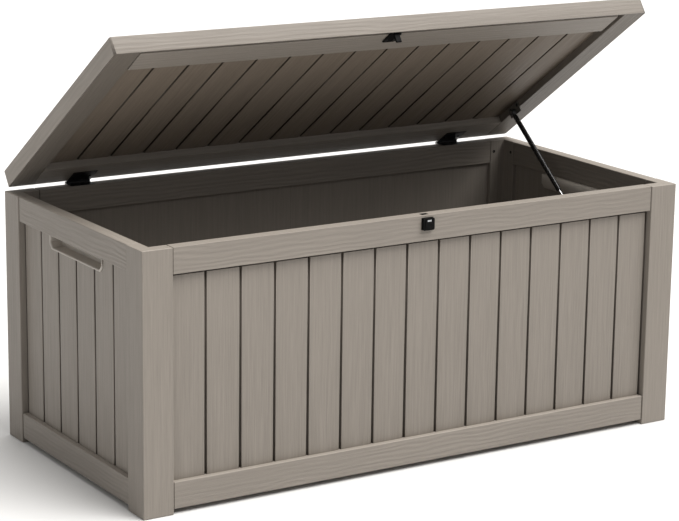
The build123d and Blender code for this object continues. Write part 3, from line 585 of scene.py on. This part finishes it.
def post(node, side_x, side_y):
    """A corner post: an L of two thick legs, hollow from below."""
    corner_x = left_x if side_x < 0 else right_x
    corner_y = front_y if side_y < 0 else back_y

    def ring(margin, height):
        """The L's outline at a height, shrunk by a margin."""
        far, near = post_width - margin, rim_width - margin
        outline = ((margin, margin), (far, margin), (far, near), (near, near), (near, far), (margin, far))
        return [mesh.verts.new((corner_x - side_x * a, corner_y - side_y * b, height)) for a, b in outline]

    mesh = bmesh.new()
    rings = [ring(0.0, rim_z), ring(0.0, 0.0), ring(POST_WALL, 0.0), ring(POST_WALL, rim_z - POST_WALL)]
    join_rings(mesh, rings)
    mesh.faces.new(rings[0])
    mesh.faces.new(rings[-1])
    place(node + "_moulding", mesh, post_resin, "box", "post_resin", [node], bevel=POST_ROUNDING, segments=4)


for row, side_y in (("front", -1), ("back", 1)):
    for column, side_x in (("left", -1), ("right", 1)):
        post(f"{row}_{column}_post", side_x, side_y)


def grown_box(node, margin, into=Matrix()):
    """A CAD node's box with a margin all round."""
    low, high = node_box(node, into)
    room = Vector((margin, margin, margin))
    return low - room, high + room


SEAT_ROOM = 0.3 * MM  # round a piece that is let into another
LEAF_SEAT = 1.7 * MM  # depth of the seat for a hinge leaf
PAST = 1 * MM  # how far a cutter runs past the face it opens

CATCH_HALF = 13 * MM
CATCH_TOP = 5 * MM  # its front plate ends this far under the rim
CATCH_HEIGHT = 24 * MM
CATCH_CORE = 9 * MM  # from the box's front to the front plate's back
CATCH_WELL = 21 * MM  # and to the back of the well for the tongue
CATCH_FOOT = 14 * MM  # height of the block behind the rail, above the catch's lower end
WELL_HALF = 8 * MM


def catch_boxes(margin):
    """The catch's front plate, well and foot, as corner pairs, grown by a margin."""
    low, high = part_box("latch_catch")
    top = rim_z - CATCH_TOP
    core, base = front_y + CATCH_CORE, low.z + 1 * MM
    plate = ((-CATCH_HALF, low.y, top - CATCH_HEIGHT), (CATCH_HALF, core, top))
    well = ((-WELL_HALF, core - 1 * MM, base), (WELL_HALF, front_y + CATCH_WELL, high.z))
    foot = ((-CATCH_HALF, core, base), (CATCH_HALF, high.y, low.z + CATCH_FOOT))
    room = Vector((margin, margin, margin))
    for box_low, box_high in (plate, well, foot):
        yield Vector(box_low) - room, Vector(box_high) + room


def catch_notch(mesh):
    """The opening in the front top rail that takes the catch."""
    plate, well, foot = catch_boxes(SEAT_ROOM)
    add_box(mesh, *plate)
    add_box(mesh, well[0], (well[1].x, well[1].y, rim_z + PAST))
    add_box(mesh, *foot)


def leaf_seats(mesh):
    """The seats of the hinges' lower leaves in the back top rail."""
    for side in ("left", "right"):
        low, high = grown_box(f"{side}_hinge_box_leaf", SEAT_ROOM)
        add_box(mesh, (low.x, low.y, rim_z - LEAF_SEAT), (high.x, high.y, rim_z + PAST))


def rail(wall, level):
    """A rail between two posts, with softly rounded edges."""
    node = f"{wall}_{level}_rail"
    low, high = (top_rail_low, rim_z) if level == "top" else (bottom_rail_low, bottom_rail_high)
    half = (half_length if wall in ("front", "back") else half_depth) - post_width - RAIL_END_GAP
    to_point = wall_map(wall)
    mesh = bmesh.new()
    add_box(mesh, to_point(-half, low, rail_setback), to_point(half, high, rim_width))
    cutter = {"front_top_rail": catch_notch, "back_top_rail": leaf_seats}.get(node)
    material = rail_x_resin if wall in ("front", "back") else rail_y_resin
    options = {"bevel": RAIL_ROUNDING, "segments": 4, "cutter": cutter}
    place(node + "_moulding", mesh, material, "box", "rail_resin", [node], **options)


for wall in ("front", "back", "left", "right"):
    for level in ("top", "bottom"):
        rail(wall, level)


PLANK_CROWN = 0.25 * MM  # how far a plank's middle stands out
GROOVE_FLOOR = 0.8  # part of a groove's width that its floor takes
GROOVE_SAG = 0.3 * MM  # of that floor's middle


def planked_profile(start, stop, grooves, thickness, lip=GROOVE_LIP, depth=GROOVE_DEPTH):
    """Outline of a planked sheet: (along, depth) points with depth 0 at the planks' face.

    A groove at the sheet's very start or stop is the half of it on this side of a seam."""
    half = GROOVE_WIDTH / 2
    floor_half, floor_edge = half * GROOVE_FLOOR, depth - GROOVE_SAG
    floor = [(-floor_half, floor_edge), (0.0, depth), (floor_half, floor_edge)]
    falling = [(-a, b) for a, b in arc((half + lip, lip), lip, -90, -180)]
    rising = arc((half + lip, lip), lip, -180, -90)
    profile = [(start, thickness)]
    if start not in grooves:
        profile.append((start, 0.0))
    edges = [start] + [groove for groove in grooves if start < groove < stop] + [stop]
    for i, edge in enumerate(edges):
        if edge in grooves:
            section = [(edge + along, down) for along, down in falling + floor + rising]
            profile += [point for point in section if start <= point[0] <= stop]
        if i + 1 < len(edges):
            profile.append(((edge + edges[i + 1]) / 2, -PLANK_CROWN))
    if stop not in grooves:
        profile.append((stop, 0.0))
    profile.append((stop, thickness))
    return profile


SHADOW_GAP = 5.5 * MM  # height of the gap under a top rail
SHADOW_DEPTH = 3.4 * MM
PAINTED_SHADE_FROM = 1.3 * MM  # depth below the planks' face where the grooves and the shadow gap get painted shade
UNSHADED_BACK = 0.4 * MM  # next to a sheet's back, where the painted shade stops


def plank_panel(node, wall, start, stop, grooves, opening=None):
    """A planked sheet between posts and rails, with a shadow gap under the top rail."""
    to_point = wall_map(wall)
    inward = to_point(0.0, 0.0, 1.0) - to_point(0.0, 0.0, 0.0)

    def cutter(mesh):
        """The shadow gap, and the panel's opening if it has one."""
        low = to_point(start - PAST, top_rail_low - SHADOW_GAP, plank_setback - PAST)
        high = to_point(stop + PAST, top_rail_low + 2 * PAST, plank_setback + SHADOW_DEPTH)
        add_box(mesh, low, high)
        if opening:
            opening(mesh)

    def in_groove(face):
        """Whether a face lies in the grooves or in the shadow gap."""
        depth = (face.center - to_point(0.0, 0.0, plank_setback)).dot(inward)
        return PAINTED_SHADE_FROM < depth < plank_thickness - UNSHADED_BACK

    mesh = bmesh.new()
    profile = planked_profile(start, stop, grooves, plank_thickness)
    sweep(mesh, profile, panel_low.z, panel_high.z, lambda a, b, c: to_point(a, c, plank_setback + b))
    panel = place(node + "_moulding", mesh, plank_resin, "box", "plank_resin", [node], cutter=cutter)
    # Painted shade: faces deep in the grooves and in the shadow gap get the darker groove colour.
    paint(panel, groove_shade_resin, in_groove)


PANEL_TONGUE = 6 * MM  # how far a panel runs into a post
SEAM = 0.2 * MM  # half the gap between a long wall's two panels
SEAM_GROOVE = 7  # the groove that the gap lies in
long_half = half_length - post_width
long_pitch = 2 * long_half / LONG_PLANKS
long_grooves = [-long_half + long_pitch * count for count in range(1, LONG_PLANKS)]
beside_post = GROOVE_WIDTH / 2
for wall in ("front", "back"):
    left_grooves = [beside_post - long_half] + long_grooves[: SEAM_GROOVE - 1]
    left_grooves.append(long_grooves[SEAM_GROOVE - 1] - SEAM)
    right_grooves = [long_grooves[SEAM_GROOVE - 1] + SEAM] + long_grooves[SEAM_GROOVE:]
    right_grooves.append(long_half - beside_post)
    plank_panel(f"{wall}_left_plank_panel", wall, -long_half - PANEL_TONGUE, left_grooves[-1], left_grooves)
    plank_panel(f"{wall}_right_plank_panel", wall, right_grooves[0], long_half + PANEL_TONGUE, right_grooves)

# ---------------------------------------------------------------- finger grips
cup_low, cup_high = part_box("left_grip_cup")
CUP_WALL = 3.0 * MM
CUP_CORNER = 9.0 * MM
CUP_EASE = 2.5 * MM  # length of the bends at the cut corners
HOLE_MARGIN = 3.0 * MM  # from the grip's opening to the hole in the planks
cup_half = (cup_high.y - cup_low.y) / 2
cup_depth = cup_high.x - cup_low.x


def cup_outline(margin):
    """The grip's outline with cut lower corners, grown by a margin from its opening."""
    half = cup_half - CUP_WALL + margin
    low = cup_low.z + CUP_WALL - margin
    high = cup_high.z - CUP_WALL + min(margin, CUP_WALL)
    corner, ease = CUP_CORNER, CUP_EASE
    side = [(half, high), (half, low + corner + ease), (half - ease / 4, low + corner)]
    side += [(half - corner, low + ease / 4), (half - corner - ease, low)]
    return [(-a, b) for a, b in side] + side[::-1]


def grip(wall):
    """A finger grip: a lipped cup behind the opening in a side wall's planks.

    Its sections, in millimetres, are how far the outline grows and how far in from the planks it lies."""
    to_point = wall_map(wall)
    node = f"{wall}_grip_cup"
    mesh = bmesh.new()
    back = cup_depth / MM
    sections = [(3.0, back - 0.2), (3.0, 0.2), (3.6, 0.1), (4.4, -0.3), (4.5, -1.0), (3.9, -1.9), (2.9, -2.4)]
    sections += [(1.6, -2.3), (0.6, -1.4), (0.1, 0.0), (0.0, 1.4), (-0.4, back - 4.5), (-1.6, back - 3.2)]
    rings = []
    for margin, inward in sections:
        outline = cup_outline(margin * MM)
        rings.append([mesh.verts.new(to_point(a, b, plank_setback + inward * MM)) for a, b in outline])
    join_rings(mesh, rings)
    mesh.faces.new(rings[0])
    mesh.faces.new(rings[-1])
    place(node + "_moulding", mesh, grip_resin, "box", "grip_resin", [node])


def grip_opening(wall):
    """Cut the hole for the cup through a side wall's planks."""
    to_point = wall_map(wall)

    def fill(mesh):
        """The hole's solid, from outside the planks to behind them."""
        start, stop = plank_setback - 4 * PAST, plank_setback + plank_thickness + 4 * PAST
        sweep(mesh, cup_outline(HOLE_MARGIN), start, stop, to_point)

    return fill


side_half = half_depth - post_width
side_grooves = [-side_half + 2 * side_half / SIDE_PLANKS * count for count in range(1, SIDE_PLANKS)]
side_grooves = [beside_post - side_half] + side_grooves + [side_half - beside_post]
for wall in ("left", "right"):
    node = f"{wall}_plank_panel"
    reach = side_half + PANEL_TONGUE
    plank_panel(node, wall, -reach, reach, side_grooves, grip_opening(wall))
    grip(wall)

# ---------------------------------------------------------------- the lid, in the closed lid's own frame
LID_CORNER = 5 * MM
LID_EDGE = 3 * MM
LID_WALL = 3 * MM
TOP_GROOVE_DEPTH = 2 * MM
TOP_GROOVE_SHOULDER = 1.2 * MM  # width and depth of the slope at its edge
TOP_GROOVE_FLOOR = 0.6  # part of a groove's width that its floor takes
TOP_PAINTED_SHADE_FROM, TOP_PAINTED_SHADE_TO = 0.8 * MM, 2.2 * MM  # depths between which those grooves get painted shade
UNDER_GROOVE_LIP = 0.6 * MM
UNDER_GROOVE_DEPTH = 3.2 * MM
UNDER_PAINTED_SHADE_FROM = 0.9 * MM
END_FACING = 0.7  # sideways part of the normal from which a face belongs to the lid's ends
lid_under_top = lid_box("lid_left_rail")[1].z
lid_pitch = 2 * recess_x / LONG_PLANKS
lid_grooves = [-recess_x + lid_pitch * count for count in range(1, LONG_PLANKS)]


def upper_leaf_seats(mesh):
    """The seats of the hinges' upper leaves in the lid's lower back edge."""
    for side in ("left", "right"):
        low, high = grown_box(f"{side}_hinge_lid_leaf", SEAT_ROOM, into_lid)
        add_box(mesh, (low.x, low.y, shell_low.z - PAST), (high.x, 0.0, shell_low.z + LEAF_SEAT))


def lid_hollow(mesh):
    """The lid shell's hollow, its top grooves and the hinge seats."""
    low, high = shell_low, shell_high
    hollow_low = (low.x + LID_WALL, low.y + LID_WALL, low.z - PAST)
    add_box(mesh, hollow_low, (high.x - LID_WALL, high.y - LID_WALL, lid_under_top))
    upper_leaf_seats(mesh)
    half = GROOVE_WIDTH / 2
    edge, floor_half = half + TOP_GROOVE_SHOULDER, half * TOP_GROOVE_FLOOR
    side = [(edge, PAST), (edge, 0.0), (half, -TOP_GROOVE_SHOULDER), (floor_half, -TOP_GROOVE_DEPTH)]
    profile = [(-a, b) for a, b in side] + side[::-1]
    for groove in lid_grooves:
        sweep(mesh, profile, recess_front, recess_back, lambda a, b, c: Vector((groove + a, c, high.z + b)))


def lid_shell():
    """The lid's one-piece top and edge walls."""
    mesh = bmesh.new()
    add_box(mesh, shell_low, shell_high)
    upright = [edge for edge in mesh.edges if abs(edge.verts[0].co.z - edge.verts[1].co.z) > 1 * MM]
    bmesh.ops.bevel(mesh, geom=upright, offset=LID_CORNER, segments=6, profile=0.5, affect="EDGES")
    top = shell_high.z
    rim = [edge for edge in mesh.edges if all(abs(vertex.co.z - top) < 0.01 * MM for vertex in edge.verts)]
    bmesh.ops.bevel(mesh, geom=rim, offset=LID_EDGE, segments=5, profile=0.5, affect="EDGES")
    shell = place(
        "lid_top_shell_moulding",
        mesh,
        lid_x_resin,
        "lid",
        "lid_resin",
        ["lid_top_shell"],
        matrix=lid_frame,
        cutter=lid_hollow,
    )

    def in_groove(face):
        """Whether a face lies in the top's grooves."""
        x, y, z = face.center
        in_field = abs(x) < recess_x and recess_front < y < recess_back
        return in_field and TOP_PAINTED_SHADE_FROM < top - z < TOP_PAINTED_SHADE_TO

    paint(shell, lid_y_resin, lambda face: abs(face.normal.x) > END_FACING)
    # Painted shade: faces deep in the top's grooves get a darker colour.
    paint(shell, lid_top_groove_shade_resin, in_groove)
    shell.modifiers["normals"].keep_sharp = False


LID_RAIL_ROUNDING = 1.2 * MM
FRONT_JOINT = 13 * MM  # width of the open joint in front of the front rail
END_JOINT = 6 * MM  # and at its ends
JOINT_DEPTH = 8 * MM


def lid_rail(node, material, cutter=None):
    """A rail on the lid's underside."""
    low, high = lid_box(node)
    mesh = bmesh.new()
    add_box(mesh, low, high)
    options = {"matrix": lid_frame, "bevel": LID_RAIL_ROUNDING, "cutter": cutter}
    place(node + "_moulding", mesh, material, "lid", "lid_rail_resin", [node], **options)


def shadow_line(mesh):
    """The open joints along the front rail's lip side and at its two ends."""
    low, high = lid_box("lid_front_rail")
    inner_left, inner_right = low.x + END_JOINT, high.x - END_JOINT
    front, back = low.y - PAST, high.y + PAST
    bottom, top = low.z - PAST, low.z + JOINT_DEPTH
    add_box(mesh, (inner_left, front, bottom), (inner_right, low.y + FRONT_JOINT, top))
    add_box(mesh, (low.x - PAST, front, bottom), (inner_left, back, top))
    add_box(mesh, (inner_right, front, bottom), (high.x + PAST, back, top))


def lid_panel():
    """The grooved panel in the lid's underside."""
    low, high = lid_box("lid_inner_panel")
    edge = recess_x + PAST
    thickness = high.z - low.z
    mesh = bmesh.new()
    profile = planked_profile(-edge, edge, lid_grooves, thickness, UNDER_GROOVE_LIP, UNDER_GROOVE_DEPTH)
    ends = (recess_front - PAST, recess_back + PAST)
    sweep(mesh, profile, *ends, lambda a, b, c: Vector((a, c, low.z + b)))
    stands_for = ("lid", "lid_panel_resin", ["lid_inner_panel"], lid_frame)
    panel = place("lid_inner_panel_moulding", mesh, lid_panel_resin, *stands_for)

    def in_groove(face):
        """Whether a face lies in the panel's grooves."""
        return UNDER_PAINTED_SHADE_FROM < face.center.z - low.z < thickness - UNSHADED_BACK

    # Painted shade: faces deep in the panel's grooves get a near-black colour.
    paint(panel, lid_groove_shade_resin, in_groove)


lid_shell()
lid_rail("lid_left_rail", lid_side_shaded_resin)
lid_rail("lid_right_rail", lid_side_shaded_resin)
lid_rail("lid_front_rail", lid_x_resin, shadow_line)
lid_rail("lid_back_rail", lid_x_resin, upper_leaf_seats)
lid_panel()

# ---------------------------------------------------------------- latch
HOOK_HALF = 14.5 * MM
HOOK_CORNER = 4 * MM
HOOK_PLATE = 2.5 * MM  # its thickness
HOOK_INSET = 2 * MM  # of the plate from the CAD hook's front and back
TONGUE_HALF = 6 * MM
TONGUE_THICKNESS = 4 * MM
TONGUE_INSET = 0.6 * MM
TONGUE_PLAY = 0.6 * MM  # round the tongue in its slot
TONGUE_SLOT = 21 * MM  # depth of the slot under the rim
CATCH_CORNER = 3 * MM
# The striker: a bright bare-metal bar that stands in for a highlight on the black catch.
HIGHLIGHT_STRIKER_HALF = 4.5 * MM
HIGHLIGHT_STRIKER_FROM, HIGHLIGHT_STRIKER_TO = 3.2 * MM, 6.5 * MM  # below the front plate's top


def rounded_outline(low, high, radius, steps):
    """A rectangle's outline with rounded corners, between two corners given as pairs."""
    left, right = low[0] + radius, high[0] - radius
    bottom, top = low[1] + radius, high[1] - radius
    outline = []
    for quarter, centre in enumerate(((right, top), (left, top), (left, bottom), (right, bottom))):
        outline += arc(centre, radius, 90 * quarter, 90 * quarter + 90, steps)
    return outline


def tongue_front():
    """Where the tongue's front face is, in the closed lid's frame."""
    return lid_box("latch_hook")[0].y + TONGUE_INSET


def latch_hook():
    """The lid's latch: a rounded plate with a tongue that hooks into the catch."""
    low, high = lid_box("latch_hook")
    plate_base = lid_box("lid_front_rail")[0].z
    mesh = bmesh.new()
    ends = ((-HOOK_HALF, low.y + HOOK_INSET), (HOOK_HALF, high.y - HOOK_INSET))
    outline = rounded_outline(*ends, HOOK_CORNER, 5)
    sweep(mesh, outline, plate_base - HOOK_PLATE, plate_base, lambda a, b, c: Vector((a, b, c)))
    root = plate_base - HOOK_PLATE + 0.5 * MM
    tip = 1 * MM  # size of the cuts at the tongue's tip
    profile = [(0.0, root), (0.0, low.z + tip), (tip, low.z), (TONGUE_THICKNESS - tip, low.z)]
    profile += [(TONGUE_THICKNESS, low.z + tip), (TONGUE_THICKNESS, root - 2 * tip)]
    profile.append((TONGUE_THICKNESS + 2 * tip, root))
    front = tongue_front()
    sweep(mesh, profile, -TONGUE_HALF, TONGUE_HALF, lambda a, b, c: Vector((c, front + a, b)))
    stands_for = ("lid", "latch_plastic", ["latch_hook"], lid_frame)
    place("latch_hook_moulding", mesh, latch_plastic, *stands_for, bevel=0.5 * MM)


def latch_catch():
    """The box's catch: a rounded block with a raised frame, a bright striker that stands in for a highlight,
    and a slot for the tongue.
    """
    plate, well, foot = catch_boxes(0.0)
    face = plate[0].y
    centre = (plate[0] + plate[1]) / 2
    mesh = bmesh.new()

    def standing(outline, front, back):
        """A plate of an outline in x and z, between two distances behind the catch's face."""
        sweep(mesh, outline, face + front, face + back, lambda a, b, c: Vector((a, c, b)))

    def ridge(half, front, back, low, high):
        """A bar across the front plate."""
        add_box(mesh, (-half, face + front, low), (half, face + back, high))

    outline = rounded_outline((plate[0].x, plate[0].z), (plate[1].x, plate[1].z), CATCH_CORNER, 4)
    standing(outline, 1.5 * MM, plate[1].y - face)
    inset = [(centre.x + (a - centre.x) * 0.72, centre.z + (b - centre.z) * 0.74) for a, b in outline]
    standing(inset, 0.4 * MM, 2.5 * MM)
    ridge(6 * MM, 0.0, 2 * MM, plate[0].z + 4 * MM, plate[0].z + 8 * MM)
    add_box(mesh, *well)
    add_box(mesh, *foot)
    highlight_striker_low, highlight_striker_high = plate[1].z - HIGHLIGHT_STRIKER_TO, plate[1].z - HIGHLIGHT_STRIKER_FROM
    ridge(HIGHLIGHT_STRIKER_HALF, 0.1 * MM, 2 * MM, highlight_striker_low, highlight_striker_high)

    def tongue_slot(mesh):
        """The slot that the closed lid's tongue goes into."""
        front = hinge.y + tongue_front()
        half = TONGUE_HALF + TONGUE_PLAY
        low = (-half, front - TONGUE_PLAY, rim_z - TONGUE_SLOT)
        add_box(mesh, low, (half, front + TONGUE_THICKNESS + TONGUE_PLAY, rim_z + PAST))

    def on_highlight_striker(face_of_catch):
        """Whether a face belongs to the striker, the bar that stands in for a highlight."""
        x, y, z = face_of_catch.center
        slack = 0.01 * MM
        on_front = abs(x) < HIGHLIGHT_STRIKER_HALF + 0.1 * MM and y < face + 2.1 * MM
        return on_front and highlight_striker_low - slack <= z <= highlight_striker_high + slack

    stands_for = ("box", "latch_plastic", ["latch_catch"])
    options = {"bevel": 0.4 * MM, "segments": 2, "cutter": tongue_slot}
    catch = place("latch_catch_moulding", mesh, latch_plastic, *stands_for, **options)
    # Painted highlight: the striker's faces get bright bare metal.
    paint(catch, galvanised, on_highlight_striker)


latch_hook()
latch_catch()

# ---------------------------------------------------------------- screws
HEAD_RADIUS = 3.6 * MM
HEAD_RISE = 0.7 * MM
HEAD_STEPS = 24
# A head's section from its edge to its middle, as parts of the radius and of the rise.
HEAD_CURVE = ((0.86, -0.4), (1.0, -0.1), (0.97, 0.3), (0.8, 0.75), (0.5, 0.97), (0.2, 1.0))
SLOT_HALF = 0.45 * MM
SLOT_REACH = 0.7  # part of the radius that the recess takes
SLOT_DROP = 1.1 * HEAD_RISE


def screw_heads(node, body, matrix=None):
    """Low round heads with a crossed recess, one at each of a CAD node's screws."""
    into = matrix.inverted() if matrix is not None else Matrix()
    mesh = bmesh.new()
    for group in islands(node, into):
        low, high = group_box(group)
        extent = high - low
        axis = max(range(3), key=lambda i: extent[i])
        centre = (low + high) / 2
        widest = {}
        for end in (low[axis], high[axis]):
            near = [point - centre for point in group if abs(point[axis] - end) < 0.2 * MM]
            widest[end] = max((offset - offset[axis] * unit(axis)).length for offset in near)
        head = max(widest, key=widest.get)
        outward = unit(axis) * (1 if head > centre[axis] else -1)
        origin = centre.copy()
        origin[axis] = head
        across = unit((axis + 1) % 3)
        up = outward.cross(across)
        rings = []
        for radius, rise in HEAD_CURVE:
            ring = []
            for step in range(HEAD_STEPS):
                angle = 2 * math.pi * step / HEAD_STEPS
                side = across * math.cos(angle) + up * math.sin(angle)
                nearest = min(abs(math.cos(angle)), abs(math.sin(angle))) * radius * HEAD_RADIUS
                in_slot = nearest < SLOT_HALF and radius < SLOT_REACH
                height = rise * HEAD_RISE - (SLOT_DROP if in_slot else 0.0)
                ring.append(mesh.verts.new(origin + side * radius * HEAD_RADIUS + outward * height))
            rings.append(ring)
        join_rings(mesh, rings)
        mesh.faces.new(rings[0])
        mesh.faces.new(rings[-1])
    place(node + "_heads", mesh, black_steel, body, "screw_steel", [node], matrix)


for node in ("post_screws", "catch_screws", "hinge_box_screws", "strut_box_screws"):
    screw_heads(node, "box")
for node in ("hinge_lid_screws", "hook_screws", "strut_lid_screws"):
    screw_heads(node, "lid", lid_frame)
